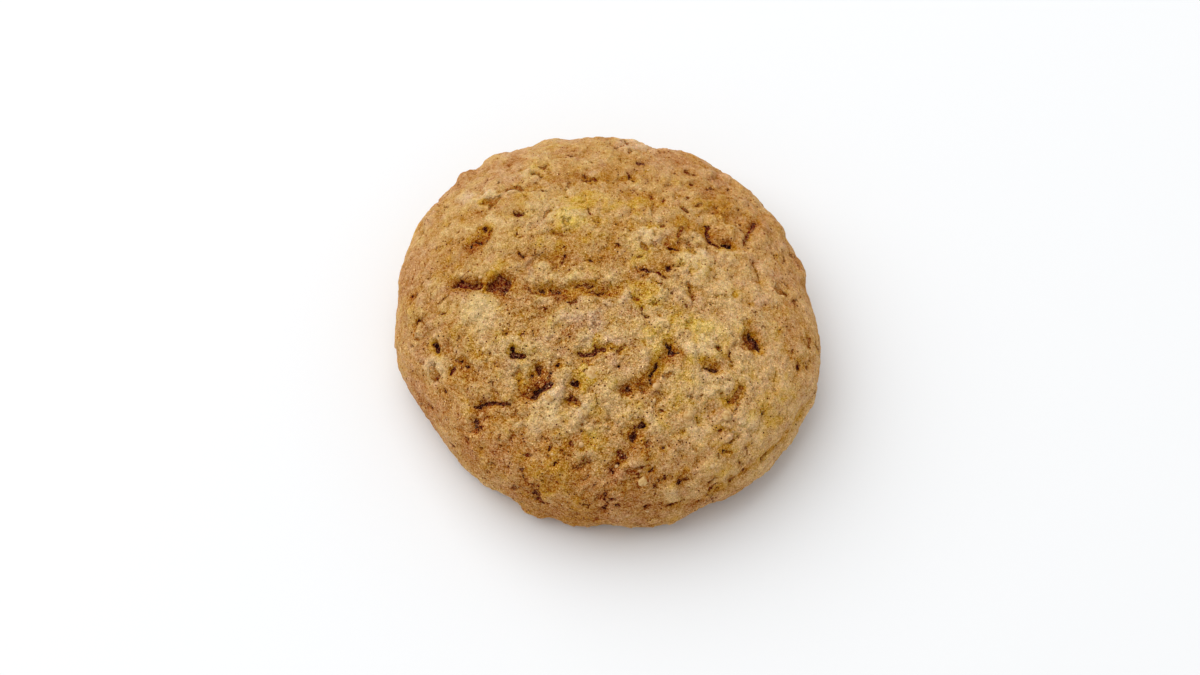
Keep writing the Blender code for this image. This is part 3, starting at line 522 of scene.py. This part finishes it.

# Orange-brown patches, part stain and part painted shade beside ledges and in hollows: place, radius
# and strength.
STAINS_AND_SHADE = (
    (-7.2, 7.8, 0.9, 0.7), (0.6, 5.7, 0.5, 0.7), (3.4, 4.7, 0.5, 0.7), (5.5, 1, 0.7, 0.7),
    (4.8, -4, 0.6, 1.4), (-11.9, -6.2, 0.5, 0.8), (-5, -9.5, 0.5, 0.8), (-4.9, -12.2, 0.4, 0.8),
    (-1.1, -10.3, 0.7, 0.9), (-1.6, -13.1, 0.5, 0.7), (9.1, -12.9, 0.5, 0.7),
    (6.2, -15.8, 0.8, 0.8), (4.2, -17.5, 0.8, 0.8), (-1.7, -18.9, 0.7, 0.7),
    (-12.3, -18.5, 1.2, 0.7), (-9.8, -15.1, 0.7, 0.8), (-13.5, -16.5, 0.9, 1),
    (-19.3, -16.8, 0.5, 0.9), (14.3, -13.2, 0.7, 0.8), (16.6, -13.3, 0.8, 0.8),
    (12.2, -12.9, 0.4, 0.7), (14.6, -19.9, 0.5, 0.9), (23.5, -19.2, 0.5, 0.7),
    (12.2, -29.2, 0.8, 0.8), (18.9, -26.5, 0.9, 0.7), (19.1, -25.2, 0.5, 0.8),
    (16, -25.2, 0.5, 0.7), (7.2, -33.7, 0.6, 0.7), (4.5, -30, 0.6, 0.7), (4.9, -25, 0.8, 0.9),
    (-20.5, -29.3, 0.9, 1), (-23.4, -29, 0.6, 0.7), (-14.9, -24.6, 0.7, 0.7),
    (-13.9, -25.7, 0.7, 0.7), (-19, -25, 0.5, 0.8), (-5.4, -25.9, 1, 0.6), (-16, -4.8, 0.8, 0.7),
    (-18.6, 8.9, 1.1, 1.1), (-17.2, 1, 0.7, 0.8), (-14.3, 1.6, 0.6, 0.7), (-29.6, -1.7, 0.6, 0.7),
    (19, -1.8, 0.5, 0.7), (21.8, -3.1, 0.6, 0.7), (25.4, -3.7, 0.6, 0.7), (10.2, -6.2, 0.8, 0.6),
    (9, 2.3, 0.6, 0.8), (25, -29.3, 0.6, 0.7), (24.9, 13.2, 0.6, 0.7), (18.9, 14.6, 0.9, 0.7),
    (5.9, 14.5, 1, 0.6), (-4, 14.5, 0.6, 0.6), (1.5, 14, 0.6, 0.6), (-4.9, 9.8, 0.6, 0.8),
    (-21, 12.3, 1.2, 0.6), (-18.7, 15, 0.7, 0.7), (-0.4, 18.7, 1.3, 0.7), (2.6, 18.8, 0.7, 0.7),
    (-21.9, 23.5, 1.2, 0.6), (31.9, -1.4, 0.4, 1), (-2.5, -1.8, 1.1, 1), (-5.5, -1.6, 0.9, 0.8),
)

# %% Large and middling shapes
LUMPS = ((10.0 * MM, 0.42 * MM), (4.6 * MM, 0.30 * MM))
LUMP_SEED = 41
DETAIL_SEED = 7
FAR = 9.0
LEAST_COSINE = 0.35
# The pushes that make the edges of lumps and valleys, and of holes, uneven.
UNEVEN = ((2.4, 0.55), (1.0, 0.30))
NIBBLED = ((0.9, 0.34),)
LUMP_SLOPE = 0.9
VALLEY_SHARE = 0.65
VALLEY_SLOPE = 1.4


def distance_to_line(points, corners):
    """The least distance, in millimetres, from each point to the straight runs between corners."""
    nearest = np.linalg.norm(points - corners[0], axis=1)
    for start, end in zip(corners, corners[1:]):
        run = end - start
        share = np.clip((points - start) @ run / (run @ run), 0, 1)
        away = points - start - share[:, None] * run
        nearest = np.minimum(nearest, np.linalg.norm(away, axis=1))
    return nearest / MM


def mound(points, middle, radius):
    """1 at the middle, falling to 0 at one and a half radii."""
    return smooth_step(1.5 - distance_to_line(points, (middle,)) / radius)


lump_draw = np.random.default_rng(LUMP_SEED)
relief = np.zeros(len(smooth_points))
for span, height in LUMPS:
    relief += height / MM * lattice_noise(smooth_points, span, lump_draw)
for right, back, radius, rise in EDGE_BUMPS:
    relief += rise * mound(smooth_points, crust_place(right, back), radius)


def seen(right, back, sunk=0.0):
    """Where a place read off the photograph lies. It was read as if the dough were smooth, and a
    place that is sunk shows nearer to the viewer, so it is moved back along the crust by the
    sunk depth times the way out less the way to the viewer over the cosine between the two."""
    place, way = plain_crust(np.hypot(right, back) * MM, np.arctan2(back, right))
    level = relief[np.argmin(np.linalg.norm(smooth_points - place, axis=1))]
    cosine = max(way @ backwards, LEAST_COSINE)
    return place + (sunk - level) * MM * (way - backwards / cosine)


def places_seen(run, sunk):
    """The places of a run, which is written as right, back, right, back and so on."""
    return [seen(right, back, sunk) for right, back in zip(run[::2], run[1::2])]


draw = np.random.default_rng(DETAIL_SEED)
uneven = ragged(smooth_points, UNEVEN, draw)
nibbled = ragged(smooth_points, NIBBLED, draw)
for right, back, radius, rise in LUMPS_PLACED:
    away = distance_to_line(uneven, (seen(right, back, -rise),))
    relief += rise * smooth_step((radius - away) / LUMP_SLOPE + 0.5)
valley = np.zeros(len(smooth_points))
for width, depth, *run in VALLEYS:
    inside = width / 2 - distance_to_line(uneven, places_seen(run, VALLEY_SHARE * depth))
    valley = np.maximum(valley, VALLEY_SHARE * depth * smooth_step(inside / VALLEY_SLOPE + 0.8))
relief -= valley
print("valleys reach", round(valley.max(), 2), "mm deep")

# %% Crumbs and the gaps between them
# The span and height of each size of crumb, and how far its gaps reach, in millimetres.
CRUMBS = ((3.2, 0.48, 0.10), (1.7, 0.38, 0.06), (0.9, 0.25, -0.02))
CRUMB_RADIUS = 1.05
GAP_EDGE = 0.96
GAP_DEPTH = 0.35
GAP_SLOPE = 0.35
ZONE_SPAN = 8
CALM_FROM = 26
CALM_WIDTH = 12
CALM_SHARE = 0.40
PIT_SHARE = 0.7
PIT_SLOPE = 0.45
DIP_SLOPE = 1.1
# How dark the gaps and the tray's pores are painted, a painted shade.
GAP_SHADE = 0.62


def rough(points, span, layers, draw):
    """Lattice noise in layers, each of half the span and a little over half the height."""
    total = np.zeros(len(points))
    for layer in range(layers):
        total += 0.55**layer * lattice_noise(points, span / 2**layer, draw)
    return total


# The edge is calmer than the middle, and in some zones the crumbs stand further apart.
calm = 1 - CALM_SHARE * smooth_step((crust_distance / MM - CALM_FROM) / CALM_WIDTH)
in_view = smooth_step(outward @ backwards / 0.4)
zone = smooth_step(0.5 + 1.6 * lattice_noise(smooth_points, ZONE_SPAN * MM, draw))
crumbs = np.zeros(len(smooth_points))
cavity = np.full(len(smooth_points), -FAR)
hole_shade = np.full(len(smooth_points), GAP_SHADE)
for span, height, reach in CRUMBS:
    away, own = clump_noise(uneven, span * MM, draw)
    cap = np.sqrt(np.clip(1 - (away / CRUMB_RADIUS) ** 2, 0, 1))
    crumbs += height * (cap * (0.3 + 1.3 * own) - 0.8) * (0.65 + 0.35 * zone) * calm
    gap = away - GAP_EDGE + reach * zone + 0.06 * own - 0.03 * in_view
    cavity = np.maximum(cavity, gap * span)
print("gaps cover", round(100 * np.mean(cavity > 0), 1), "percent")
relief += crumbs + 0.06 * lattice_noise(smooth_points, 0.6 * MM, draw)
pit_depth = GAP_DEPTH * smooth_step((cavity + 0.15) / GAP_SLOPE)
dip = np.zeros(len(smooth_points))
# Each hole also sets how dark it is painted, a painted shade.
for width, depth, shade_of_hole, *runs in CAVITIES:
    for run in runs:
        inside = width / 2 - distance_to_line(nibbled, places_seen(run, 0.1 + 0.6 * depth))
        hole_shade = np.where(inside > cavity, shade_of_hole, hole_shade)
        cavity = np.maximum(cavity, inside)
        pit_depth = np.maximum(pit_depth, PIT_SHARE * depth * smooth_step((inside + 0.20) / PIT_SLOPE))
        dip = np.maximum(dip, (0.1 + 0.4 * depth) * smooth_step(inside / DIP_SLOPE + 1))
print("cavities cover", round(100 * np.mean(cavity > 0), 1), "percent")
relief -= pit_depth + 0.6 * dip
standing = crumbs - 0.8 * valley - 0.6 * dip
print("the crust stands from", round(relief.min(), 2), "to", round(relief.max(), 2), "mm")

# %% Pale, brown, golden and pink patches, some of them painted light, shade and sheen
PATCHY = ((2.0, 0.7), (0.9, 0.3))
PATCH_SPAN = 4.0
PALE_RISE = 0.20
CRISP_MIDDLE = (0, -14, 0)
CRISP_REACH = (32, 24, 1e3)
# The way to the window, which stands to the left, behind and above. It sets the painted light tint.
TOWARDS_LIGHT = np.array((-0.41, 0.33, 0.85))

pale = 0.4 * rough(smooth_points, PATCH_SPAN * MM, 3, draw)
golden = 0.65 * rough(smooth_points, PATCH_SPAN * MM, 3, draw)
patchy = ragged(smooth_points, PATCHY, draw)
for right, back, radius, more_pale, more_golden in PATCHES_WITH_PAINTED_LIGHT:
    here = mound(patchy, seen(right, back), radius)
    pale += more_pale * here
    golden += more_golden * here
relief += PALE_RISE * smooth_step((pale - 0.30) / 0.35)
# Valleys and dips carry a painted warm shade, together with the placed stains.
stain_and_shade = np.maximum(0.8 * valley, 0.68 * dip)
for right, back, radius, strength in STAINS_AND_SHADE:
    stain_and_shade = np.maximum(stain_and_shade, strength * mound(patchy, seen(right, back), 1.2 * radius))
# The fine grain is crispest in the middle of the picture, where the lens was focused.
from_middle = (smooth_points / MM - CRISP_MIDDLE) / CRISP_REACH
above_table = smooth_step(smooth_points[:, 2] / (0.3 * WAIST_HEIGHT))
crisp = 0.62 + 0.92 * np.exp(-np.sum(from_middle**2, axis=1)) * above_table
print("pale from", round(pale.min(), 1), "to", round(pale.max(), 1))

# %% [markdown]
# ## One closed crust
#
# The heights now push each point of the smooth dough outwards. They die out towards the table, so
# that the cookie rests on a flat underside. There the tray leaves only shallow pores, which go up
# into the dough. The whole is kept inside the solid's box. What the finish has to know, such as
# how deep in a hole a point lies, is kept as a number on each point.

# %% The crust
OFF_MIDDLE = np.array((0.16, -0.28, 0)) * MM
PORE_SPAN = 2.2
PORE_DEPTH = 0.35
PORE_LEVEL = 0.20


def mesh_piece(name, points, faces):
    """A smooth mesh object from arrays of points and four-cornered faces."""
    mesh = bpy.data.meshes.new(name)
    mesh.vertices.add(len(points))
    mesh.vertices.foreach_set("co", points.astype(np.float32).ravel())
    mesh.loops.add(faces.size)
    mesh.loops.foreach_set("vertex_index", faces.astype(np.int32).ravel())
    mesh.polygons.add(len(faces))
    mesh.polygons.foreach_set("loop_start", np.arange(0, faces.size, faces.shape[1], dtype=np.int32))
    mesh.update(calc_edges=True)
    mesh.shade_smooth()
    piece = bpy.data.objects.new(name, mesh)
    bpy.context.scene.collection.objects.link(piece)
    return piece


def paint_points(piece, name, values):
    """Keeps one number for each point under a name that a material can read."""
    layer = piece.data.attributes.new(name, "FLOAT", "POINT")
    layer.data.foreach_set("value", values.astype(np.float32))


points = smooth_points + outward * (relief * MM * above_table)[:, None] - OFF_MIDDLE
pore = rough(smooth_points, PORE_SPAN * MM, 3, draw)
points[:, 2] += PORE_DEPTH * MM * (1 - above_table) * smooth_step((pore - PORE_LEVEL) / 0.25)
points = np.clip(points, np.array(low) + MARGIN, np.array(high) - MARGIN)
crust = mesh_piece("crust", points, crust_faces)
paint_points(crust, "cavity", np.where(above_table > 0.5, cavity, 1.5 * pore - 0.72))
# How dark each hole is painted: painted shade.
paint_points(crust, "hole_shade", np.where(above_table > 0.5, hole_shade, GAP_SHADE))
paint_points(crust, "tray_side", 1 - above_table)
# How far each point stands above its neighbours; the material paints raised parts paler as painted
# light and low parts browner as painted shade.
paint_points(crust, "raised", np.clip((standing - standing.mean()) / standing.std(), -2, 2))
# Orange-brown that is part stain and part painted warm shade in hollows.
paint_points(crust, "stain_and_shade", stain_and_shade)
paint_points(crust, "pale", pale)
paint_points(crust, "golden", golden)
paint_points(crust, "crisp", crisp)
# How far each point faces the window, for the painted light tint.
paint_points(crust, "turned", outward @ TOWARDS_LIGHT)
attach(crust, "root")
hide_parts("cookie")
print("crust:", len(crust_faces) * 2, "triangles")

# %% [markdown]
# ## Shader maths
#
# A procedural material is a sum of small decisions, such as "darker in the holes". Written as
# nodes these are hard to read, so this class lets a socket be used in plain arithmetic.

# %% A socket that adds and multiplies


class Wire:
    """A value socket. Each operator adds the Math node that works it out."""

    def __init__(self, paint, socket):
        self.paint = paint
        self.socket = socket

    def _math(self, operation, first, second):
        return self.paint.node("ShaderNodeMath", {"operation": operation}, {0: first, 1: second})

    def __add__(self, other):
        return self._math("ADD", self, other)

    def __sub__(self, other):
        return self._math("SUBTRACT", self, other)

    def __rsub__(self, other):
        return self._math("SUBTRACT", other, self)

    def __mul__(self, other):
        return self._math("MULTIPLY", self, other)

    __radd__ = __add__
    __rmul__ = __mul__

    def held(self, start, end):
        """0 below the start, 1 above the end, and a smooth rise between."""
        return self.paint.node(
            "ShaderNodeMapRange", {"interpolation_type": "SMOOTHSTEP"}, {0: self, 1: start, 2: end}
        )


class Paint:
    """One material and the nodes that colour it."""

    def __init__(self, name):
        self.material = bpy.data.materials.new(name)
        self.material.use_nodes = True
        self.tree = self.material.node_tree
        self.surface = self.tree.nodes["Principled BSDF"]
        self.place = self.node("ShaderNodeTexCoord", output="Object")

    def link(self, value, socket):
        if isinstance(value, Wire):
            self.tree.links.new(value.socket, socket)
        else:
            socket.default_value = value

    def node(self, kind, settings=None, inputs=None, output=0):
        """A node of a kind, with its settings made first and then its sockets filled."""
        made = self.tree.nodes.new(kind)
        for name, value in (settings or {}).items():
            setattr(made, name, value)
        for name, value in (inputs or {}).items():
            self.link(value, made.inputs[name])
        return Wire(self, made.outputs[output])

    def noise(self, span, detail=2.0, roughness=0.5):
        """Soft noise of about 0 to 1, whose lumps are this many metres apart."""
        inputs = {"Vector": self.place, "Scale": 1 / span, "Detail": detail, "Roughness": roughness}
        return self.node("ShaderNodeTexNoise", None, inputs, "Fac")

    def spots(self, span):
        """Distance to the nearest of points that are about this many metres apart."""
        inputs = {"Vector": self.place, "Scale": 1 / span}
        return self.node("ShaderNodeTexVoronoi", None, inputs, "Distance")

    def cells(self, span):
        """A number of 0 to 1 for each cell round the points that are this many metres apart."""
        inputs = {"Vector": self.place, "Scale": 1 / span}
        cell = self.node("ShaderNodeTexVoronoi", None, inputs, "Color")
        return self.node("ShaderNodeSeparateColor", None, {"Color": cell}, 0)

    def kept(self, name):
        """A number kept on the piece's points."""
        return self.node("ShaderNodeAttribute", {"attribute_name": name}, None, "Fac")

    def mix(self, share, first, second, blend="MIX"):
        """The first colour where the share is 0 and the second where it is 1."""
        made = self.tree.nodes.new("ShaderNodeMix")
        made.data_type = "RGBA"
        made.blend_type = blend
        self.link(share, made.inputs[0])
        self.link(first, made.inputs[6])
        self.link(second, made.inputs[7])
        return Wire(self, made.outputs[2])

    def set(self, name, value):
        self.link(value, self.surface.inputs[name])


def colour(red, green, blue):
    """A screen colour of 0 to 255 as the linear one that a shader takes."""
    shares = np.array((red, green, blue)) / 255
    linear = np.where(shares <= 0.04045, shares / 12.92, ((shares + 0.055) / 1.055) ** 2.4)
    return (*linear.tolist(), 1)


# %% [markdown]
# ## The finish of the crust
#
# The crust is matt and dry, with a little light scattering in the dough. One number, the tone,
# picks its tan from a row of colours: dark in the holes as painted shade, then orange-brown, tan
# and pale crumb. Pinpricks are painted shade of tiny pores. Sunken parts are painted more orange,
# part stain and part painted warm shade, and raised parts paler as painted light. Buttery patches
# are more golden and whole skin is pinker, with a painted sheen of pink along the back and left
# edges. The side turned to the window is painted a little cooler than the one turned away, a
# painted light tint. Fine specks and painted glints of sugar are crisper in the middle and softer
# towards the edge, and the tray browns the underside. The finest grain is a bump, because it's
# smaller than the grid.

# %% Crust material
# Where each tone is reached, from the painted shade deep in a hole to a pale crumb.
TONES = (
    (0.00, (98, 38, 0)),
    (0.16, (124, 63, 10)),
    (0.32, (153, 97, 39)),
    (0.48, (177, 128, 68)),
    (0.62, (191, 148, 89)),
    (0.76, (202, 164, 107)),
    (0.90, (211, 176, 120)),
    (1.05, (219, 188, 136)),
)

bake = Paint("baked_crust")
# How far inside a hole or gap each point lies, made ragged, and the hole's rim and core, which are
# painted darker below as painted shade.
cavity_edge = bake.kept("cavity") + (bake.noise(0.50 * MM, 3.0, 0.65) - 0.5) * 0.75 - 0.02
shade_of_hole = bake.kept("hole_shade")
rim = cavity_edge.held(-0.50, 0.1)
core = cavity_edge.held(-0.05, 0.05)
# Unevenness of each size, from clumps of crumb down to dust, about 0.
mottle = bake.noise(1.3 * MM, 4.0, 0.6) - 0.5
soft = bake.noise(1.7 * MM, 1.0, 0.5) - 0.5
fine = bake.noise(0.55 * MM, 4.0, 0.7) - 0.5
dust = bake.noise(0.18 * MM, 1.0, 0.5) - 0.5
grains = bake.cells(0.32 * MM) - 0.5
bead = 1 - bake.spots(1.3 * MM).held(0.16, 0.34)
# Dark pinpricks, tiny pores drawn only as painted shade, many in some places and faint in others.
pore_shade = 1 - bake.spots(0.75 * MM).held(0.12, 0.20)
peppered = bake.noise(3.0 * MM, 2.0, 0.6).held(0.40, 0.62)
pore_shade = pore_shade * bake.kept("crisp") * (0.18 + peppered * 0.62)
stain_and_shade_here = bake.kept("stain_and_shade") + soft * 1.6 + rim * shade_of_hole * 0.42 - bake.kept("raised") * 0.36 - 0.36

# The tone picks the tan: paler on pale parts, and on raised parts as painted light; darker in
# pinpricks, rims and cores, as painted shade.
paleness = (bake.kept("pale") * 0.9 + mottle * 1.3).held(-1.2, 1.2)
palest = bake.kept("pale").held(0.8, 1.8)
tone = 0.455 + paleness * 0.38 + palest * 0.13 + bake.kept("raised") * 0.06 - pore_shade
tone = tone + fine * 0.05 + bead * 0.08 - rim * shade_of_hole * 0.14 - core * shade_of_hole * shade_of_hole * 0.60
tan = colour(*TONES[0][1])
for (start, _), (stop, reached) in zip(TONES, TONES[1:]):
    tan = bake.mix(tone.held(start, stop), tan, colour(*reached))
# Hollows, valleys, dips and hole rims are painted orange-brown, part stain and part painted warm shade,
# less so on raised parts; patches are more golden or more pink.
tan = bake.mix(stain_and_shade_here.held(0.0, 1.1), tan, (0.92, 0.82, 0.32, 1), "MULTIPLY")
golden_here = bake.kept("golden") * 0.8 - 0.05 + bake.noise(2.2 * MM, 1.0, 0.6) * 3.6 - 1.8
golden_here = golden_here * (1.5 - tone)
tan = bake.mix(golden_here.held(0.0, 1.2), tan, (1.00, 0.97, 0.50, 1), "MULTIPLY")
tan = bake.mix((0 - golden_here).held(0.0, 1.2), tan, (1.00, 0.98, 1.26, 1), "MULTIPLY")
# A painted light tint: cooler where the crust is turned to the window and warmer where it is turned
# away, as light and shade fall there; and browner where it lay on the tray.
turned = bake.mix(bake.kept("turned").held(0.4, 1.1), (1.02, 0.97, 0.98, 1), (0.97, 1.03, 1.08, 1))
tan = bake.mix(1.0, tan, turned, "MULTIPLY")
browned = bake.kept("tray_side") * (0.75 + mottle * 0.8 + soft * 0.8)
tan = bake.mix(browned, tan, (0.80, 0.66, 0.50, 1), "MULTIPLY")
# The finest grain: dust and crystals of sugar, painted glints as highlights, and painted shade at the
# rims of round grains, the same in all colours.
# Round grains, raised in the bump and painted darker at their rims as painted shade.
rounded = bake.spots(0.45 * MM)
# Painted glints: small bright highlights in the colour.
glint = 1 - bake.spots(1.1 * MM).held(0.05, 0.13)
speckle = dust * 1.5 + fine * 0.60 + grains * 0.28 + glint * 0.85 - rounded * 0.36 + 0.115
speckle = speckle * bake.kept("crisp")
add = {"operation": "MULTIPLY_ADD"}
tan = bake.node("ShaderNodeVectorMath", add, {0: speckle, 1: (0.42, 0.32, 0.18), 2: tan})
bake.set("Base Color", tan)
bake.set("Roughness", 0.75)
bake.set("Specular IOR Level", 0.08)
bake.set("Subsurface Weight", 0.3)
bake.set("Subsurface Radius", (1.0, 0.45, 0.15))
bake.set("Subsurface Scale", 0.5 * MM)
# The finest relief, in millimetres: small flakes with an edge, and the same grain.
flakes = bake.noise(1.5 * MM, 3.0, 0.6).held(0.47, 0.53)
flakes = flakes + bake.noise(0.9 * MM, 3.0, 0.6).held(0.42, 0.48)
heights = bake.noise(0.80 * MM, 2.0, 0.55) * 0.17 - rounded * 0.04 + grains * 0.01 + flakes * 0.06
heights = heights * bake.kept("crisp") - core * 0.35
bump = bake.node("ShaderNodeBump", None, {"Strength": 1.0, "Distance": MM, "Height": heights}, "Normal")
bake.set("Normal", bump)
crust.data.materials.append(bake.material)
print("crust material:", len(bake.tree.nodes), "nodes")

# %% [markdown]
# ## Sugar beads and nut bits
#
# Sugar that melted and set again sits on the crust as small pale beads, and chopped walnut shows
# as small blunt bits. Both are many small lumps of one kind, so each kind is one mesh: a ball of
# 24 faces, pushed out of round, is set down at many places on the crust and sunk in part way.

# %% Where the small pieces lie
# Place and radius in millimetres.
BEAD_PLACES = (
    (7.3, -17.2, 0.6), (1.5, -29.2, 0.36), (-7, -26.2, 0.46), (-3.7, -26, 0.46), (7, -28.9, 0.34),
    (7.1, -37.1, 0.36), (-19.1, -10.9, 0.42), (16.2, -21.4, 0.36), (13.4, -23.2, 0.42),
    (16.5, -28.2, 0.44), (-7.3, 12.6, 0.36), (-19, 1.2, 0.36), (-7.2, -16.8, 0.4),
    (-5.1, -22.7, 0.55),
)
NUT_PLACES = (
    (-2.2, -15.5, 1.25), (-8.6, -19.2, 0.85), (11.9, -21.3, 0.85), (17.8, -20.6, 0.85),
    (5.6, -31.6, 0.8), (-3.4, -21.4, 0.7), (-22.1, 2.2, 0.45), (16.2, 1.4, 0.7),
)
SCATTERED_BEADS = 70
SCATTER_SHARE = 0.55
BEAD_SIZES = (0.14, 0.26)
BEAD_SEED = 23
NUT_SEED = 5
BALL_CELLS = 2
# Flatness, unevenness and how far they are sunk, each as a share of their size.
BEAD_SHAPE = (0.7, 0.12, 0.35)
NUT_SHAPE = (0.45, 0.16, 0.12)


def set_down(places, flatness, unevenness, sunk, draw):
    """Balls at places on the crust: each is a unit ball, made flatter along the way out of the
    crust and uneven by a random stretch of each point, turned to that way and moved there."""
    corners, faces = cube_grid(BALL_CELLS)
    ball = np.tan((corners / BALL_CELLS * 2 - 1) * np.pi / 4)
    ball /= np.linalg.norm(ball, axis=1, keepdims=True)
    spots, ups, sizes = places
    across = np.cross(ups, (0.31, 0.95, 0.05))
    across /= np.linalg.norm(across, axis=1, keepdims=True)
    along = np.cross(ups, across)
    turn = draw.uniform(0, 2 * np.pi, len(spots))[:, None]
    first = across * np.cos(turn) + along * np.sin(turn)
    second = along * np.cos(turn) - across * np.sin(turn)
    stretch = draw.uniform(1 - unevenness, 1 + unevenness, (len(spots), len(ball), 1))
    shape = ball[None] * stretch * sizes[:, None, None]
    shape[..., 2] = shape[..., 2] * flatness - sunk * sizes[:, None]
    frame_of_each = np.stack((first, second, ups), axis=1)
    placed = np.einsum("nbk,nkx->nbx", shape, frame_of_each) + spots[:, None]
    all_faces = faces[None] + len(ball) * np.arange(len(spots))[:, None, None]
    return placed.reshape(-1, 3), all_faces.reshape(-1, 4)


def on_crust(places):
    """The nearest point of the finished crust to each place, the way out there, and the size."""
    index = [np.argmin(np.linalg.norm(smooth_points - seen(x, y), axis=1)) for x, y, size in places]
    return points[index], outward[index], np.array([size for x, y, size in places]) * MM


def inside_box(places):
    """The points kept within the solid's box."""
    return np.clip(places, np.array(low) + MARGIN, np.array(high) - MARGIN)


# %% Sugar beads
bead_draw = np.random.default_rng(BEAD_SEED)
open_crust = np.flatnonzero((crust_distance < SCATTER_SHARE * ALONG[-1]) & (cavity < -0.3))
scattered = bead_draw.choice(open_crust, SCATTERED_BEADS, replace=False)
bead_spots, bead_ups, bead_sizes = on_crust(BEAD_PLACES)
bead_spots = np.concatenate((bead_spots, points[scattered]))
bead_ups = np.concatenate((bead_ups, outward[scattered]))
bead_sizes = np.concatenate((bead_sizes, bead_draw.uniform(*BEAD_SIZES, SCATTERED_BEADS) * MM))
bead_points, bead_faces = set_down((bead_spots, bead_ups, bead_sizes), *BEAD_SHAPE, bead_draw)
beads = mesh_piece("sugar_beads", inside_box(bead_points), bead_faces)
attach(beads, "root")
sugar = Paint("set_sugar")
own_tone = sugar.noise(1.4 * MM, 2.0)
sugar_colour = sugar.mix(own_tone.held(0.35, 0.65), colour(192, 148, 92), colour(214, 178, 126))
sugar.set("Base Color", sugar_colour)
sugar.set("Roughness", 0.45)
sugar.set("Specular IOR Level", 0.3)
beads.data.materials.append(sugar.material)
print("sugar beads:", len(bead_sizes), "with", 2 * len(bead_faces), "triangles")

# %% Nut bits
nut_draw = np.random.default_rng(NUT_SEED)
nut_points, nut_faces = set_down(on_crust(NUT_PLACES), *NUT_SHAPE, nut_draw)
nuts = mesh_piece("nut_bits", inside_box(nut_points), nut_faces)
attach(nuts, "root")
kernel = Paint("walnut_kernel")
grain_of_nut = kernel.noise(0.5 * MM, 4.0, 0.65)
kernel_colour = kernel.mix(grain_of_nut.held(0.30, 0.70), colour(178, 128, 66), colour(216, 182, 122))
kernel.set("Base Color", kernel_colour)
kernel.set("Roughness", 0.6)
kernel.set("Specular IOR Level", 0.25)
kernel_bump = {"Strength": 1.0, "Distance": MM, "Height": grain_of_nut * 0.15}
kernel.set("Normal", kernel.node("ShaderNodeBump", None, kernel_bump, "Normal"))
nuts.data.materials.append(kernel.material)
print("nut bits:", len(NUT_PLACES), "with", 2 * len(nut_faces), "triangles")

# %% [markdown]
# ## Table and light
#
# The photograph has a plain white ground and one broad soft light from the upper left, with
# light from all round that fills the shadow.

# %% Floor
FLOOR_SIZE = 6.0
floor_points = np.array([(x, y, 0) for y in (-1, 1) for x in (-1, 1)]) * FLOOR_SIZE / 2
floor = mesh_piece("floor", floor_points, np.array([[0, 1, 3, 2]]))
ground = Paint("white_ground")
ground.set("Base Color", (0.80, 0.81, 0.82, 1))
ground.set("Roughness", 0.9)
floor.data.materials.append(ground.material)

# %% Light
LIGHT_SIZE = 1.8
LIGHT_POWER = 19.2
LIGHT_PLACE = Vector((-0.53, 0.42, 1.09))
ROOM_LIGHT = 0.62

lamp_data = bpy.data.lights.new("window", "AREA")
lamp_data.size = LIGHT_SIZE
lamp_data.energy = LIGHT_POWER
lamp = bpy.data.objects.new("window", lamp_data)
lamp.location = LIGHT_PLACE
lamp.rotation_euler = LIGHT_PLACE.to_track_quat("Z", "Y").to_euler()
bpy.context.scene.collection.objects.link(lamp)

world = bpy.data.worlds.new("soft room")
world.use_nodes = True
world.node_tree.nodes["Background"].inputs["Color"].default_value = (1, 1, 1, 1)
world.node_tree.nodes["Background"].inputs["Strength"].default_value = ROOM_LIGHT
bpy.context.scene.world = world
bpy.context.scene.view_settings.view_transform = "Standard"
